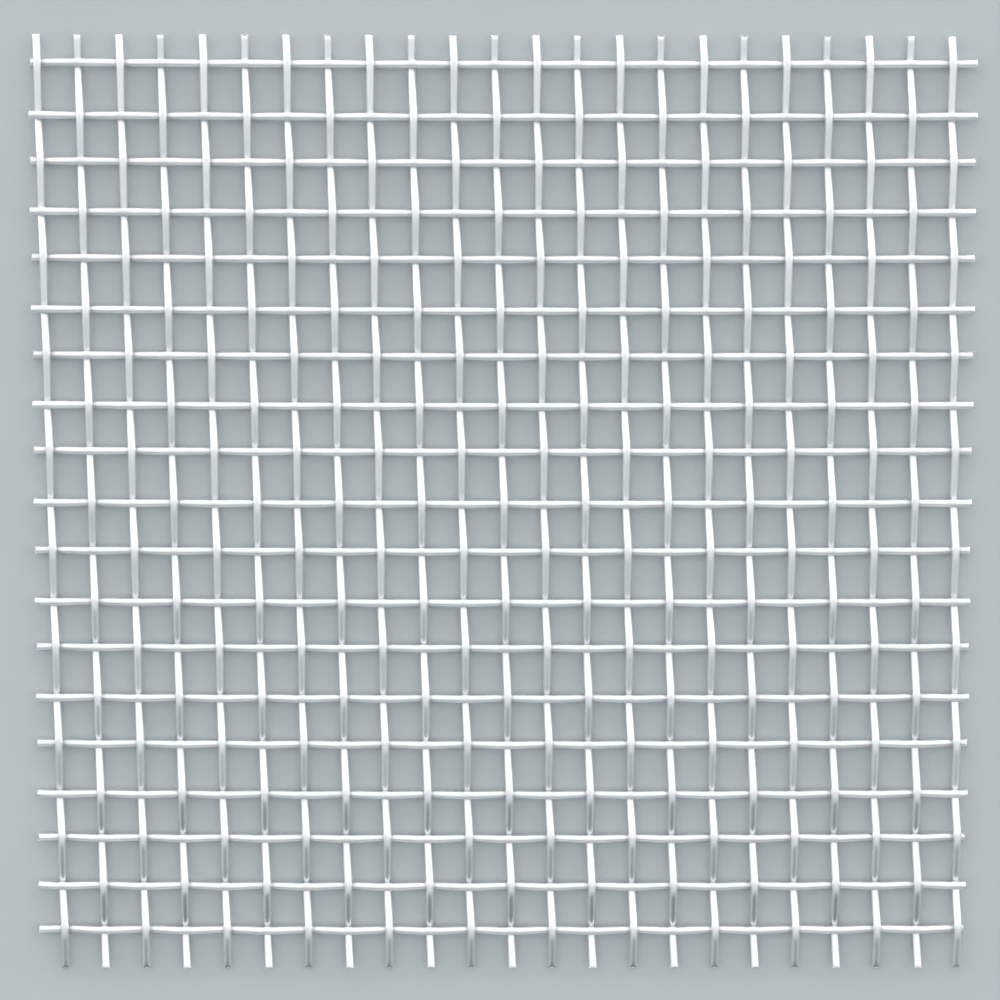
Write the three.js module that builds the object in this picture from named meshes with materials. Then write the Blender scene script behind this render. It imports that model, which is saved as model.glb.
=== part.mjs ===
// A square piece of woven aluminium insect screen, as cut from the roll.
//
// It is a plain weave of round drawn wire: each warp wire passes over one fill wire and
// under the next, its neighbours do the opposite, and nothing but the crimp holds them.
// Every wire is a piece of its own. Both sets are crimped by the same amount, so their
// centre lines lie one wire diameter apart wherever they cross.
//
// Axes: X along the fill wires, Y along the warp wires, Z up out of the sheet.
// Origin: the middle of the sheet, on the level that its lowest crests rest on.
// Lengths are in millimetres. Fill wires are numbered from +Y, warp wires from -X.

import * as THREE from "three";

// The cloth: the 18 x 16 insect mesh of 0.011 inch wire, with its picks beaten up slackly.
const wireDiameter = 0.2794; // 0.011 inch
const warpPitch = 1.4111; // 18 wires to the inch
const fillPitch = 1.668; // a little over 15 wires to the inch
const warpCount = 23;
const fillCount = 19;

// Where the shears cut: how far the wires run on past the outermost wires that cross them.
const sideMargin = 0.25;
const topMargin = 0.91;
const bottomMargin = 1.29;

// How far the cloth strays from a square grid.
const skew = 0.0205; // lean of the warp wires: sideways drift for each unit of length
const pickPairing = 0.042; // every second fill wire sits this much low, the others as much high
const beatUpSwing = 0.0645; // slow swing of the fill wires' places
const swingPeriod = 12.2; // fill wires in one such swing
const swingPeak = 7.25; // the fill wire at which it is highest
const beatUpFlutter = 0.029; // a quicker swing on top of it
const flutterPeriod = 4.8;
const flutterPeak = 3.13;
const fillBow = 0.054; // sag of a fill wire's middle towards -Y
const warpSway = 0.022; // sideways lean of a warp wire, one way where it is over and the other under
const warpWander = 0.018; // uneven spacing of the warp wires
const warpPhase = 1.3;

// Each wire is a six-sided bar, flat on top and below, with the sectional area of the round wire.
const wireSides = 6;
const sectionArea = (Math.PI * wireDiameter ** 2) / 4;
const sectionRadius = Math.sqrt((2 * sectionArea) / (wireSides * Math.sin((2 * Math.PI) / wireSides)));
const sectionHalfHeight = sectionRadius * Math.cos(Math.PI / wireSides);

// The crimp: a wire lies level across the wire that it crosses, and runs straight in between.
const crimpHeight = wireDiameter / 2;
const crestLength = 2 * sectionRadius;
const midHeight = crimpHeight + sectionHalfHeight;

const sheetLength = (fillCount - 1) * fillPitch + topMargin + bottomMargin;
const halfLength = sheetLength / 2;
const halfWidth = ((warpCount - 1) * warpPitch) / 2 + skew * halfLength + sideMargin;

// A value between -1 and 1 for wire n, from two waves that never fall into step.
const quickWave = 2.4; // radians from one wire to the next
const slowWave = 0.9;
const uneven = (n, phase) => Math.sin(quickWave * n + phase) * Math.cos(slowWave * n * phase);

// A value between -1 and 1 for wire n that is highest at peak and again each period.
const swing = (n, period, peak) => Math.cos((2 * Math.PI * (n - peak)) / period);

// Whether warp wire i passes over fill wire j: 1 over, -1 under.
const warpIsOver = (i, j) => ((i + j) % 2 === 0 ? 1 : -1);

// Where the centre lines of warp wire i and fill wire j cross, seen from above.
function crossing(i, j) {
  const evenX = (i - (warpCount - 1) / 2) * warpPitch;
  const evenY = halfLength - topMargin - j * fillPitch;
  const lean = -skew * evenY + warpSway * warpIsOver(i, j) + warpWander * uneven(i, warpPhase);
  const pairing = j % 2 === 0 ? pickPairing : -pickPairing;
  const slowDrift = beatUpSwing * swing(j, swingPeriod, swingPeak);
  const quickDrift = beatUpFlutter * swing(j, flutterPeriod, flutterPeak);
  const bow = -fillBow * (1 - (evenX / halfWidth) ** 2);
  return { x: evenX + lean, y: evenY + pairing + slowDrift + quickDrift + bow };
}

// The path of a wire's centre through its stations, with the wire's section kept upright.
class WirePath extends THREE.Curve {
  constructor(stations, sideways) {
    super();
    this.stations = stations;
    this.sideways = sideways;
  }

  getPoint(t, target = new THREE.Vector3()) {
    const spans = this.stations.length - 1;
    const k = Math.min(Math.floor(t * spans), spans - 1);
    return target.lerpVectors(this.stations[k], this.stations[k + 1], t * spans - k);
  }

  getPointAt(u, target) {
    return this.getPoint(u, target);
  }

  computeFrenetFrames(segments) {
    const up = new THREE.Vector3(0, 0, 1);
    const along = new THREE.Vector3().crossVectors(this.sideways, up);
    const repeated = (v) => Array.from({ length: segments + 1 }, () => v.clone());
    return { tangents: repeated(along), normals: repeated(this.sideways), binormals: repeated(up) };
  }
}

// The stations between two shears' cuts at -reach and +reach along an axis, and the cut ends.
function cutToLength(stations, axis, reach) {
  const kept = stations.filter((p) => Math.abs(p[axis]) < reach);
  const cutAt = (level) => {
    const k = stations.findIndex((p) => p[axis] > level);
    const [before, after] = [stations[k - 1], stations[k]];
    const share = (level - before[axis]) / (after[axis] - before[axis]);
    return new THREE.Vector3().lerpVectors(before, after, share).setComponent(axis === "x" ? 0 : 1, level);
  };
  return [cutAt(-reach), ...kept, cutAt(reach)];
}

function section() {
  const corners = Array.from({ length: wireSides }, (_, k) => {
    const angle = (2 * Math.PI * k) / wireSides;
    return new THREE.Vector2(sectionRadius * Math.cos(angle), sectionRadius * Math.sin(angle));
  });
  return new THREE.Shape(corners);
}

// Along each wire the crossings run one past both ends, so that a cut end keeps its slope.
function warpStations(i) {
  const stations = [];
  for (let j = fillCount; j >= -1; j--) {
    const { x, y } = crossing(i, j);
    const z = midHeight + crimpHeight * warpIsOver(i, j);
    stations.push(new THREE.Vector3(x, y - crestLength / 2, z));
    stations.push(new THREE.Vector3(x, y + crestLength / 2, z));
  }
  return cutToLength(stations, "y", halfLength);
}

function fillStations(j) {
  const stations = [];
  for (let i = -1; i <= warpCount; i++) {
    const { x, y } = crossing(i, j);
    const z = midHeight - crimpHeight * warpIsOver(i, j);
    stations.push(new THREE.Vector3(x - crestLength / 2, y, z));
    stations.push(new THREE.Vector3(x + crestLength / 2, y, z));
  }
  return cutToLength(stations, "x", halfWidth);
}

function wire(name, stations, sideways, material) {
  const geometry = new THREE.ExtrudeGeometry(section(), {
    steps: stations.length - 1,
    extrudePath: new WirePath(stations, sideways),
  });
  const mesh = new THREE.Mesh(geometry, material);
  mesh.name = name;
  return mesh;
}

const warpAluminium = new THREE.MeshStandardMaterial({ color: 0xdfe3e6, roughness: 0.3, metalness: 1 });
const fillAluminium = new THREE.MeshStandardMaterial({ color: 0xe6e8ea, roughness: 0.26, metalness: 1 });

const numbered = (kind, n) => `${kind}_wire_${String(n + 1).padStart(2, "0")}`;

const screen = new THREE.Group();
for (let i = 0; i < warpCount; i++) {
  screen.add(wire(numbered("warp", i), warpStations(i), new THREE.Vector3(-1, 0, 0), warpAluminium));
}
for (let j = 0; j < fillCount; j++) {
  screen.add(wire(numbered("fill", j), fillStations(j), new THREE.Vector3(0, 1, 0), fillAluminium));
}

export default screen;
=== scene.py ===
"""A square piece of woven aluminium insect screen, lying flat on a pale table.

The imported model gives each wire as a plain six-sided bar. Here every wire is drawn again as
the round, crimped, sheared wire that it is, on the same centre line and under the same name,
and given the finish of bright drawn aluminium. All lengths are in metres.
"""

import math

import bpy
import numpy as np
from mathutils import Matrix


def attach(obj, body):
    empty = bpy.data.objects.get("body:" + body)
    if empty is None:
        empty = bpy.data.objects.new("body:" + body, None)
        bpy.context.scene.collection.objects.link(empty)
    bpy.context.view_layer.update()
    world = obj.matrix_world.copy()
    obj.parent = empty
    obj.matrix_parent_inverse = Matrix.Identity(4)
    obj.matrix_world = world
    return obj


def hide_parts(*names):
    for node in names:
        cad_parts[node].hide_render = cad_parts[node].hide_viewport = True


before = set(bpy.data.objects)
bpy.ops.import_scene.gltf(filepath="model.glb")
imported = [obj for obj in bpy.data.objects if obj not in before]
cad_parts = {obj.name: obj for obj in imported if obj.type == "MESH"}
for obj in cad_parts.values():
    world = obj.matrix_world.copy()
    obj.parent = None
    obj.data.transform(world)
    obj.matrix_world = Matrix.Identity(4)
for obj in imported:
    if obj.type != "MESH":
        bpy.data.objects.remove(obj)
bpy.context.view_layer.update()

MM = 0.001

# The cloth, with the sizes of the model.
WIRE_RADIUS = 0.2794 / 2 * MM
WARP_PITCH = 1.4111 * MM
FILL_PITCH = 1.668 * MM
WARP_COUNT = 23
FILL_COUNT = 19
SIDE_MARGIN = 0.25 * MM
TOP_MARGIN = 0.91 * MM
BOTTOM_MARGIN = 1.29 * MM

# How far the cloth strays from a square grid, as in the model.
SKEW = 0.0205
PICK_PAIRING = 0.042 * MM
BEAT_UP_SWING = 0.0645 * MM
SWING_PERIOD = 12.2
SWING_PEAK = 7.25
BEAT_UP_FLUTTER = 0.029 * MM
FLUTTER_PERIOD = 4.8
FLUTTER_PEAK = 3.13
FILL_BOW = 0.054 * MM
WARP_SWAY = 0.022 * MM
WARP_WANDER = 0.018 * MM
WARP_PHASE = 1.3
QUICK_WAVE = 2.4
SLOW_WAVE = 0.9

# The model's bars swing up and down by a wire's radius about the middle of the sheet, and the
# lowest of them rest on the origin's level.
BAR_HALF_HEIGHT = 0.13303 * MM
MID_HEIGHT = WIRE_RADIUS + BAR_HALF_HEIGHT

# The crimp of the round wires, which press slightly flat where they meet and are burnished
# on their crests, so that the sheet is as thick as the model's.
CREST_BURNISH = 0.004 * MM
CRIMP = BAR_HALF_HEIGHT + CREST_BURNISH
CREST_HALF_LENGTH = 0.27 * MM
STATIONS_PER_GAP = 16

# The wire's section, and how far its gauge drifts along it.
WIRE_SIDES = 18
ANGLES = 2 * np.pi * np.arange(WIRE_SIDES) / WIRE_SIDES
ACROSS, ABOVE = np.cos(ANGLES), np.sin(ANGLES)
GAUGE_DRIFT = 0.012
DRIFT_LENGTH = 3.1 * MM

# What the shears do to the end of a wire.
SHEAR_LENGTH = 0.16 * MM
SHEAR_STATIONS = 6
SHEAR_PINCH = 0.24
SHEAR_SPREAD = 0.05
CUT_DOME = 0.014 * MM
CUT_SLANT = 0.3
CUT_SKEW = 0.12
INNER_SHARE = 0.5

# How far from a crossing the wires have rubbed each other and are greyed with painted shade.
CONTACT_REACH = 0.2 * MM

HALF_LENGTH = ((FILL_COUNT - 1) * FILL_PITCH + TOP_MARGIN + BOTTOM_MARGIN) / 2
HALF_WIDTH = (WARP_COUNT - 1) * WARP_PITCH / 2 + SKEW * HALF_LENGTH + SIDE_MARGIN

# The colours of the metal, and how much of each state shows where it is strongest.
BRIGHT_METAL = (0.93, 0.935, 0.94)
PALE_METAL = (0.86, 0.875, 0.885)
OXIDE_FILM = (0.77, 0.79, 0.80)
# The grey near crossings is partly rubbed metal and partly painted shade where the wires meet.
RUBBED_AND_SHADED_METAL = (0.60, 0.62, 0.63)
PIT_GREY = (0.42, 0.44, 0.45)
FRESH_CUT = (0.90, 0.90, 0.89)
FILM_SHARE = 0.6
RUBBED_AND_SHADE_SHARE = 0.45
PIT_SHARE = 0.2

# The size of each grain's spots: along, across and above the straightened wire, and the cloud's
# along x, y and z. Each range is the part of a grain that is stretched from none to full.
DIE_LINE_SIZE = (2.6 * MM, 0.016 * MM, 0.016 * MM)
DIE_LINE_DETAIL = 4.0
FINE_CLOUD_SIZE = (0.22 * MM, 0.09 * MM, 0.09 * MM)
FINE_CLOUD_RANGE = (0.3, 0.7)
PIT_SIZE = (0.06 * MM, 0.03 * MM, 0.03 * MM)
PIT_DETAIL = 2.0
PIT_RANGE = (0.70, 0.78)
CLOUD_SIZE = (1.5 * MM, 1.5 * MM, 1.5 * MM)
FILM_RANGE = (0.42, 0.68)
DULLED_RANGE = (0.4, 0.7)

# How rough the metal is, what each state adds to that, and how its shine spreads.
ROUGHNESS = (0.31, 0.35)
FILM_ROUGHNESS = 0.05
RUBBED_ROUGHNESS = 0.08
CUT_ROUGHNESS = 0.2
DIE_LINE_SPREAD = 0.7
QUARTER_TURN = 0.25
PIT_DEPTH_SHARE = 0.35
BUMP_STRENGTH = 0.25
BUMP_HEIGHT = 0.0018 * MM

TABLE_RADIUS = 2.0
TABLE_RIM_POINTS = 96
TABLE_CLEARANCE = 0.002 * MM
TABLE_COLOURS = ((0.46, 0.50, 0.52), (0.48, 0.52, 0.54))
TABLE_ROUGHNESS = 0.85
TABLE_SHINE = 0.2
MOTTLE_SIZE = (4 * MM, 4 * MM, 4 * MM)
MOTTLE_RANGE = (0.3, 0.7)

# The light tent. Each stop is a direction's y, the radiance there and its colour.
TENT_PEAK = 2.0
TENT_STOPS = (
    (-1.00, 1.10, (0.84, 0.94, 1.0)),
    (-0.84, 1.00, (0.84, 0.94, 1.0)),
    (-0.73, 0.02, (0.68, 0.92, 1.0)),
    (-0.57, 0.03, (0.68, 0.92, 1.0)),
    (-0.50, 0.66, (0.82, 0.94, 1.0)),
    (-0.42, 0.82, (0.87, 0.95, 1.0)),
    (-0.30, 0.96, (0.93, 0.97, 1.0)),
    (-0.14, 1.05, (0.96, 0.985, 1.0)),
    (0.04, 1.25, (1.0, 1.0, 1.0)),
)

# How many times as bright it is at the ground as above, up to a height, on its bright side and
# on its open side, and between which y each side sets in.
TENT_SKIRT = 3.0
TENT_SKIRT_HEIGHT = 0.45
BRIGHT_SIDE = (-0.12, 0.05)
OPEN_SIDE_FLOOR = 0.7
OPEN_SIDE_HEIGHT = 0.72
OPEN_SIDE = (-0.10, -0.25)

CAMERA_DISTANCE = 120 * MM
CAMERA_TARGET = (-0.115 * MM, 0.279 * MM, MID_HEIGHT)
CAMERA_TILT, CAMERA_YAW, CAMERA_ROLL = -5.95, -0.60, 0.107
CAMERA_NEAR, CAMERA_FAR = 0.01, 20
FOCAL_PIXELS = 3495.4
PICTURE_PIXELS = 1000
SENSOR_WIDTH = 36

chance = np.random.default_rng(1811)


def uneven(n, phase):
    """A value between -1 and 1 for wire n: the product of two waves out of step."""
    return np.sin(QUICK_WAVE * n + phase) * np.cos(SLOW_WAVE * n * phase)


def swing(n, period, peak):
    """A value between -1 and 1 for wire n, highest at peak and again each period."""
    return np.cos(2 * np.pi * (n - peak) / period)


def warp_is_over(i, j):
    """1 where warp wire i passes over fill wire j, -1 where it passes under."""
    return 1 - 2 * (np.abs(i + j) % 2)


def crossing(i, j):
    """The place in the sheet, x and y, where warp wire i and fill wire j cross.

    An even grid, leaned by the skew, with each set's uneven spacing and the fill wires' bow."""
    i, j = np.asarray(i, float), np.asarray(j, float)
    even_x = (i - (WARP_COUNT - 1) / 2) * WARP_PITCH
    even_y = HALF_LENGTH - TOP_MARGIN - j * FILL_PITCH
    lean = -SKEW * even_y + WARP_SWAY * warp_is_over(i, j) + WARP_WANDER * uneven(i, WARP_PHASE)
    pairing = PICK_PAIRING * (1 - 2 * (np.abs(j) % 2))
    slow_drift = BEAT_UP_SWING * swing(j, SWING_PERIOD, SWING_PEAK)
    quick_drift = BEAT_UP_FLUTTER * swing(j, FLUTTER_PERIOD, FLUTTER_PEAK)
    bow = -FILL_BOW * (1 - (even_x / HALF_WIDTH) ** 2)
    return even_x + lean, even_y + pairing + slow_drift + quick_drift + bow


def crest_ease(t, crest):
    """From 0 to 1 as t does: the slope grows evenly over the crest at each end and holds between.

    crest is the share of the gap that each crest's half takes up."""
    t, crest = np.broadcast_arrays(t, crest)
    start = t ** 2 / (2 * crest)
    middle = t - crest / 2
    end = 1 - crest - (1 - t) ** 2 / (2 * crest)
    eased = np.where(t < crest, start, np.where(t > 1 - crest, end, middle))
    return eased / (1 - crest)


def wire_path(along, side, height, reach):
    """The centre line of a woven wire, cut at -reach and +reach.

    Between two crossings it moves evenly along, and from one side place and one height to the
    next by crest_ease. Stations crowd to the crests, as (1 - cos(pi u)) / 2 does to 0 and 1."""
    u = np.arange(STATIONS_PER_GAP) / STATIONS_PER_GAP
    t = (1 - np.cos(np.pi * u)) / 2
    gap = np.diff(along)[:, None]
    eased = crest_ease(t[None, :], CREST_HALF_LENGTH / gap)

    def between(values, share):
        return (values[:-1, None] + np.diff(values)[:, None] * share).ravel()

    a = between(along, t[None, :])
    s = between(side, eased)
    h = between(height, eased)
    inside = np.abs(a) < reach - SHEAR_LENGTH
    cuts = reach - SHEAR_LENGTH * np.linspace(1, 0, SHEAR_STATIONS)
    stations = np.concatenate([-cuts[::-1], a[inside], cuts])
    return stations, np.interp(stations, a, s), np.interp(stations, a, h)


def pressed_heights(z, distance, lifted):
    """The heights of a wire's points once its crests have given way.

    lifted is 1 over a crossing and -1 under it. No point lies further from the middle of the
    sheet than a burnished crest, and within a radius of a crossing none lies past the middle."""
    from_mid = (z - MID_HEIGHT) * lifted[:, None]
    outermost = CRIMP + WIRE_RADIUS - CREST_BURNISH
    flattened = np.clip(from_mid, 0, outermost)
    burnished = np.minimum(from_mid, outermost)
    pressed = (distance < WIRE_RADIUS)[:, None]
    return MID_HEIGHT + lifted[:, None] * np.where(pressed, flattened, burnished)


def shear_ends(ring, cut, reach, run):
    """Cuts both ends of a wire, and gives a ring half as large inside each cut's rim.

    The cut is a low dome that leans: a point of it lies back by slant * (its height) + skew *
    (its place across). ring and cut, the middles of the end rings, are moved in place along
    the axis run. The deepest lean sets the dome back, so that nothing passes reach."""
    slant, skewed = chance.uniform(-CUT_SLANT, CUT_SLANT, 2), chance.uniform(-CUT_SKEW, CUT_SKEW, 2)
    lean = (slant[:, None] * ABOVE + skewed[:, None] * ACROSS) * WIRE_RADIUS
    most = np.hypot(slant, skewed) * WIRE_RADIUS
    inwards = np.array([1.0, -1.0])
    inner = cut[:, None] + INNER_SHARE * (ring[[0, -1]] - cut[:, None])
    ring[[0, -1], :, run] += inwards[:, None] * (lean + most[:, None] + CUT_DOME)
    inner[..., run] += inwards[:, None] * (INNER_SHARE * lean + most[:, None])
    cut[:, run] += inwards * most
    for points in (ring, inner):
        points[..., run] = np.clip(points[..., run], -reach, reach)
    return inner


def tube_faces(rings):
    """The faces of a tube, closed at each end by a band and a fan, all facing outwards.

    Its points are the rings in turn, then the inner ring of each end, then each end's middle."""
    k, m = np.meshgrid(np.arange(rings - 1), np.arange(WIRE_SIDES), indexing="ij")
    following = (m + 1) % WIRE_SIDES
    sides = np.stack([k * WIRE_SIDES + m, k * WIRE_SIDES + following,
                      (k + 1) * WIRE_SIDES + following, (k + 1) * WIRE_SIDES + m], axis=-1)
    m = np.arange(WIRE_SIDES)
    after = (m + 1) % WIRE_SIDES
    last, first_inner = (rings - 1) * WIRE_SIDES, rings * WIRE_SIDES
    last_inner, poles = first_inner + WIRE_SIDES, first_inner + 2 * WIRE_SIDES
    start_band = np.stack([first_inner + m, first_inner + after, after, m], axis=-1)
    end_band = np.stack([last + m, last + after, last_inner + after, last_inner + m], axis=-1)
    start_fan = np.stack([np.full_like(m, poles), first_inner + after, first_inner + m], axis=-1)
    end_fan = np.stack([last_inner + m, last_inner + after, np.full_like(m, poles + 1)], axis=-1)
    quads = np.concatenate([sides.reshape(-1, 4), start_band, end_band])
    return quads.tolist() + start_fan.tolist() + end_fan.tolist()


def woven_wire(name, along, side, height, reach, runs_along_y):
    """A round wire swept along its path and closed at both sheared ends.

    Ring k, corner m is centre + wide * cos(angle) * sideways + tall * sin(angle) * upward, where
    sideways is level and upward is square to it and to the path. Both start from a radius that
    drifts slowly along the wire. An end is pinched lower and spread wider by the shears, and all
    of it is held within reach."""
    a, s, h = wire_path(along, side, height, reach)
    centre = np.stack([s, a, h] if runs_along_y else [a, s, h], axis=1)
    tangent = np.gradient(centre, axis=0)
    tangent /= np.linalg.norm(tangent, axis=1, keepdims=True)
    sideways = np.cross([0.0, 0.0, 1.0], tangent)
    sideways /= np.linalg.norm(sideways, axis=1, keepdims=True)
    upward = np.cross(tangent, sideways)

    phase, tone = chance.uniform(0, 2 * np.pi), chance.uniform(-1, 1)
    radius = WIRE_RADIUS * (1 - GAUGE_DRIFT * (0.5 + 0.5 * np.sin(a / DRIFT_LENGTH + phase)))
    to_end = np.clip((reach - np.abs(a)) / SHEAR_LENGTH, 0, 1)
    sheared = (1 - to_end) ** 2
    tall = radius * (1 - SHEAR_PINCH * sheared)
    wide = radius * (1 + SHEAR_SPREAD * sheared)
    ring = centre[:, None] + (wide[:, None] * ACROSS)[..., None] * sideways[:, None]
    ring = ring + (tall[:, None] * ABOVE)[..., None] * upward[:, None]

    nearest = np.abs(a[:, None] - along[None, :]).argmin(1)
    distance = np.abs(a - along[nearest])
    lifted = np.sign(height[nearest] - MID_HEIGHT)
    ring[..., 2] = pressed_heights(ring[..., 2], distance, lifted)
    cut = np.stack([centre[0], centre[-1]])
    inner = shear_ends(ring, cut, reach, 1 if runs_along_y else 0)

    mesh = bpy.data.meshes.new(name)
    points = np.concatenate([ring.reshape(-1, 3), inner.reshape(-1, 3), cut])
    mesh.from_pydata(points.tolist(), [], tube_faces(len(a)))
    mesh.shade_smooth()
    keep_wire_fields(mesh, a, tangent, distance, sheared, tone, reach)
    return mesh


def keep_wire_fields(mesh, a, tangent, distance, sheared, tone, reach):
    """Stores what the material reads: each point's place on the straightened wire, the wire's
    run there, how near a crossing it is, how near a cut end, and the wire's own tone."""
    per_end = [WIRE_SIDES, WIRE_SIDES, 1, 1]
    straight = np.stack(np.broadcast_arrays(
        a[:, None], WIRE_RADIUS * ACROSS[None, :], WIRE_RADIUS * ABOVE[None, :]), axis=-1)
    at_ends = np.zeros((sum(per_end), 3))
    at_ends[:, 0] = np.repeat([-reach, reach, -reach, reach], per_end)
    keep(mesh, "straight_wire", "FLOAT_VECTOR", np.concatenate([straight.reshape(-1, 3), at_ends]))
    end_runs = np.repeat(tangent[[0, -1, 0, -1]], per_end, axis=0)
    runs = np.concatenate([np.repeat(tangent, WIRE_SIDES, axis=0), end_runs])
    keep(mesh, "wire_run", "FLOAT_VECTOR", runs)
    touch = np.repeat(np.exp(-(distance / CONTACT_REACH) ** 2), WIRE_SIDES)
    keep(mesh, "contact", "FLOAT", np.append(touch, np.zeros(sum(per_end))))
    cut_share = np.repeat(sheared ** 2, WIRE_SIDES)
    keep(mesh, "sheared", "FLOAT", np.append(cut_share, np.ones(sum(per_end))))
    keep(mesh, "tone", "FLOAT", np.full(len(mesh.vertices), tone))


def keep(mesh, name, kind, values):
    """Stores one value for each vertex under a name that the material reads."""
    field = "vector" if kind == "FLOAT_VECTOR" else "value"
    mesh.attributes.new(name, kind, "POINT").data.foreach_set(field, np.ravel(values))


def mixed(tree, factor, low, high):
    """A colour between low and high, by the value that factor gives."""
    mix = tree.nodes.new("ShaderNodeMix")
    mix.data_type = "RGBA"
    for socket, value in ((mix.inputs[6], low), (mix.inputs[7], high)):
        if isinstance(value, bpy.types.NodeSocket):
            tree.links.new(value, socket)
        else:
            socket.default_value = (*value, 1.0)
    tree.links.new(factor, mix.inputs[0])
    return mix.outputs[2]


def stored(tree, name, output="Fac"):
    """The value that the mesh keeps under a name."""
    node = tree.nodes.new("ShaderNodeAttribute")
    node.attribute_name = name
    return node.outputs[output]


def grain(tree, place, size, detail=3.0, roughness=0.55):
    """Noise between 0 and 1 whose spots measure size, a length for each direction."""
    scaled = tree.nodes.new("ShaderNodeVectorMath")
    scaled.operation = "DIVIDE"
    scaled.inputs[1].default_value = size
    tree.links.new(place, scaled.inputs[0])
    noise = tree.nodes.new("ShaderNodeTexNoise")
    noise.inputs["Scale"].default_value = 1.0
    noise.inputs["Detail"].default_value = detail
    noise.inputs["Roughness"].default_value = roughness
    tree.links.new(scaled.outputs[0], noise.inputs["Vector"])
    return noise.outputs["Fac"]


def ramped(tree, value, low, high, to_low=0.0, to_high=1.0):
    """value, taken from the range low to high to the range to_low to to_high and held there."""
    node = tree.nodes.new("ShaderNodeMapRange")
    node.inputs["From Min"].default_value = low
    node.inputs["From Max"].default_value = high
    node.inputs["To Min"].default_value = to_low
    node.inputs["To Max"].default_value = to_high
    tree.links.new(value, node.inputs["Value"])
    return node.outputs["Result"]


def worked(tree, operation, first, second):
    """Two values added, multiplied or otherwise worked into one, each a socket or a number."""
    node = tree.nodes.new("ShaderNodeMath")
    node.operation = operation
    for socket, value in zip(node.inputs, (first, second)):
        if isinstance(value, bpy.types.NodeSocket):
            tree.links.new(value, socket)
        else:
            socket.default_value = value
    return node.outputs[0]


def drawn_aluminium():
    """Bright drawn aluminium wire.

    Along the straightened wire run fine die lines, which spread its shine round its girth much
    more than along it. Its oxide film clouds over in soft patches a few wires long, with small
    pits. It is rubbed grey where wires touch, a grey that also stands as painted shade between
    the wires, and fresh where cut."""
    material = bpy.data.materials.new("drawn_aluminium")
    material.use_nodes = True
    tree = material.node_tree
    shader = tree.nodes["Principled BSDF"]
    shader.inputs["Metallic"].default_value = 1.0
    shader.inputs["Anisotropic"].default_value = DIE_LINE_SPREAD
    shader.inputs["Anisotropic Rotation"].default_value = QUARTER_TURN
    tree.links.new(stored(tree, "wire_run", "Vector"), shader.inputs["Tangent"])

    straight = stored(tree, "straight_wire", "Vector")
    place = tree.nodes.new("ShaderNodeTexCoord").outputs["Object"]
    die_lines = grain(tree, straight, DIE_LINE_SIZE, detail=DIE_LINE_DETAIL)
    cloud = grain(tree, place, CLOUD_SIZE)
    fine_cloud = grain(tree, straight, FINE_CLOUD_SIZE)
    pits = ramped(tree, grain(tree, straight, PIT_SIZE, detail=PIT_DETAIL), *PIT_RANGE)
    contact, sheared, tone = (stored(tree, name) for name in ("contact", "sheared", "tone"))

    clean = mixed(tree, ramped(tree, tone, -1, 1), BRIGHT_METAL, PALE_METAL)
    film = mixed(tree, ramped(tree, cloud, *FILM_RANGE, 0.0, FILM_SHARE), clean, OXIDE_FILM)
    # Near each crossing the metal is greyed: partly rubbed metal, partly painted shade between the
    # wires.
    rubbed_and_shaded = mixed(tree, ramped(tree, contact, 0.0, 1.0, 0.0, RUBBED_AND_SHADE_SHARE), film, RUBBED_AND_SHADED_METAL)
    pitted = mixed(tree, worked(tree, "MULTIPLY", pits, PIT_SHARE), rubbed_and_shaded, PIT_GREY)
    tree.links.new(mixed(tree, sheared, pitted, FRESH_CUT), shader.inputs["Base Color"])

    rough = ramped(tree, fine_cloud, *FINE_CLOUD_RANGE, *ROUGHNESS)
    rough = worked(tree, "ADD", rough, ramped(tree, cloud, *DULLED_RANGE, 0.0, FILM_ROUGHNESS))
    rough = worked(tree, "ADD", rough, worked(tree, "MULTIPLY", contact, RUBBED_ROUGHNESS))
    rough = worked(tree, "ADD", rough, worked(tree, "MULTIPLY", sheared, CUT_ROUGHNESS))
    tree.links.new(rough, shader.inputs["Roughness"])

    height = worked(tree, "SUBTRACT", die_lines, worked(tree, "MULTIPLY", pits, PIT_DEPTH_SHARE))
    bump = tree.nodes.new("ShaderNodeBump")
    bump.inputs["Strength"].default_value = BUMP_STRENGTH
    bump.inputs["Distance"].default_value = BUMP_HEIGHT
    tree.links.new(height, bump.inputs["Height"])
    tree.links.new(bump.outputs[0], shader.inputs["Normal"])
    return material


def weave_screen(material):
    """Every wire of the screen, each standing for the model's bar of the same name.

    A wire's crossings run one past both of its ends, so that a sheared end keeps its slope."""
    for i in range(WARP_COUNT):
        rows = np.arange(FILL_COUNT, -2, -1)
        side, along = crossing(np.full(len(rows), i), rows)
        height = MID_HEIGHT + CRIMP * warp_is_over(i, rows)
        name = f"warp_wire_{i + 1:02d}"
        dress(name, woven_wire(name + "_drawn", along, side, height, HALF_LENGTH, True), material)
    for j in range(FILL_COUNT):
        columns = np.arange(-1, WARP_COUNT + 1)
        along, side = crossing(columns, np.full(len(columns), j))
        height = MID_HEIGHT - CRIMP * warp_is_over(columns, j)
        name = f"fill_wire_{j + 1:02d}"
        dress(name, woven_wire(name + "_drawn", along, side, height, HALF_WIDTH, False), material)


def dress(node, mesh, material):
    """Puts a wire in the scene in place of the model's node."""
    wire = bpy.data.objects.new(mesh.name, mesh)
    bpy.context.collection.objects.link(wire)
    mesh.materials.append(material)
    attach(wire, "root")
    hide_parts(node)


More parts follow.
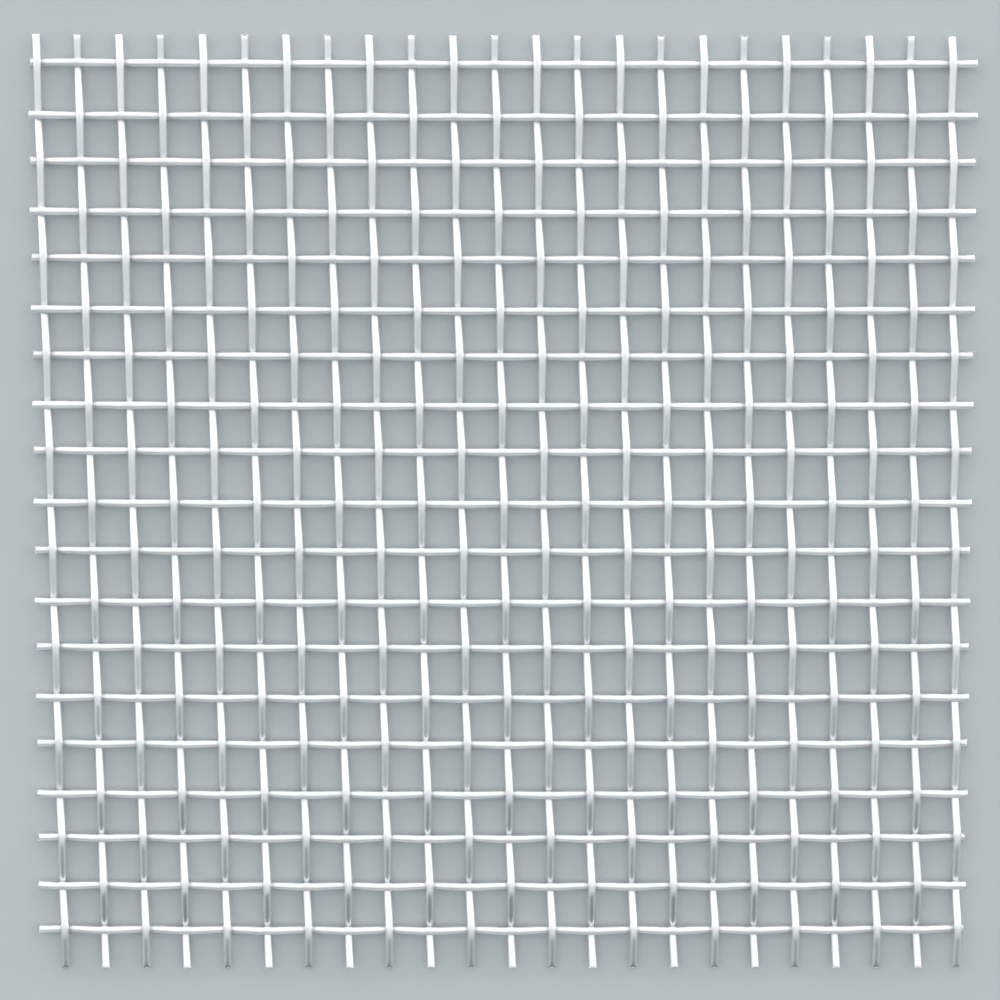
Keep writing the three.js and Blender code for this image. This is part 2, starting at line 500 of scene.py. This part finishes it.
def pale_table():
    """A broad disc a hair below the lowest crests, in a matt pale paint with a faint mottle."""
    turn = 2 * np.pi * np.arange(TABLE_RIM_POINTS) / TABLE_RIM_POINTS
    level = np.full(TABLE_RIM_POINTS, -TABLE_CLEARANCE)
    rim = np.stack([TABLE_RADIUS * np.cos(turn), TABLE_RADIUS * np.sin(turn), level], axis=1)
    mesh = bpy.data.meshes.new("table_top")
    mesh.from_pydata(rim.tolist(), [], [list(range(len(rim)))])
    table = bpy.data.objects.new("table_top", mesh)
    bpy.context.collection.objects.link(table)
    material = bpy.data.materials.new("pale_paint")
    material.use_nodes = True
    tree = material.node_tree
    place = tree.nodes.new("ShaderNodeTexCoord").outputs["Object"]
    mottle = ramped(tree, grain(tree, place, MOTTLE_SIZE), *MOTTLE_RANGE)
    shader = tree.nodes["Principled BSDF"]
    tree.links.new(mixed(tree, mottle, *TABLE_COLOURS), shader.inputs["Base Color"])
    shader.inputs["Roughness"].default_value = TABLE_ROUGHNESS
    shader.inputs["Specular IOR Level"].default_value = TABLE_SHINE
    mesh.materials.append(material)


def light_tent():
    """The pale cloth tent that lights the sheet, brightest towards +Y and open towards -Y.

    Its radiance goes by the direction's y, through the stops of TENT_STOPS. Near the ground it
    rises further on the bright side and falls off on the open side, both evenly with z."""
    world = bpy.data.worlds.new("light_tent")
    world.use_nodes = True
    tree = world.node_tree
    direction = tree.nodes.new("ShaderNodeTexCoord").outputs["Generated"]
    split = tree.nodes.new("ShaderNodeSeparateXYZ")
    tree.links.new(direction, split.inputs[0])
    ramp = tree.nodes.new("ShaderNodeValToRGB")
    tree.links.new(ramped(tree, split.outputs["Y"], -1, 1), ramp.inputs[0])
    stops = ramp.color_ramp.elements
    while len(stops) < len(TENT_STOPS):
        stops.new(1.0)
    for stop, (y, radiance, colour) in zip(stops, TENT_STOPS):
        stop.position = (y + 1) / 2
        stop.color = (*(radiance / TENT_PEAK * c for c in colour), 1.0)
    raised = ramped(tree, split.outputs["Z"], 0.0, TENT_SKIRT_HEIGHT, TENT_SKIRT - 1, 0.0)
    lowered = ramped(tree, split.outputs["Z"], 0.0, OPEN_SIDE_HEIGHT, OPEN_SIDE_FLOOR - 1, 0.0)
    bright_side = ramped(tree, split.outputs["Y"], *BRIGHT_SIDE)
    open_side = ramped(tree, split.outputs["Y"], *OPEN_SIDE)
    lift = worked(tree, "MULTIPLY", raised, bright_side)
    fall = worked(tree, "MULTIPLY", lowered, open_side)
    strength = worked(tree, "ADD", worked(tree, "ADD", lift, fall), 1.0)
    background = tree.nodes["Background"]
    tree.links.new(ramp.outputs["Color"], background.inputs["Color"])
    tree.links.new(worked(tree, "MULTIPLY", strength, TENT_PEAK), background.inputs["Strength"])
    bpy.context.scene.world = world
    bpy.context.scene.view_settings.view_transform = "Standard"


def camera():
    """The camera looks down on the sheet from a little way towards +Y, through a long lens.

    Its turn is a tilt about X, then a yaw about Y, then a roll about Z, and it stands back from
    the point that it looks at along its own axis."""
    turn = (Matrix.Rotation(math.radians(CAMERA_ROLL), 4, "Z")
            @ Matrix.Rotation(math.radians(CAMERA_YAW), 4, "Y")
            @ Matrix.Rotation(math.radians(CAMERA_TILT), 4, "X"))
    lens = bpy.data.cameras.new("camera")
    lens.sensor_width = SENSOR_WIDTH
    lens.lens = FOCAL_PIXELS / PICTURE_PIXELS * SENSOR_WIDTH
    lens.clip_start = CAMERA_NEAR
    lens.clip_end = CAMERA_FAR
    view = bpy.data.objects.new("camera", lens)
    stand_back = Matrix.Translation((0, 0, CAMERA_DISTANCE))
    view.matrix_world = Matrix.Translation(CAMERA_TARGET) @ turn @ stand_back
    bpy.context.collection.objects.link(view)
    bpy.context.scene.camera = view


weave_screen(drawn_aluminium())
pale_table()
light_tent()
camera()
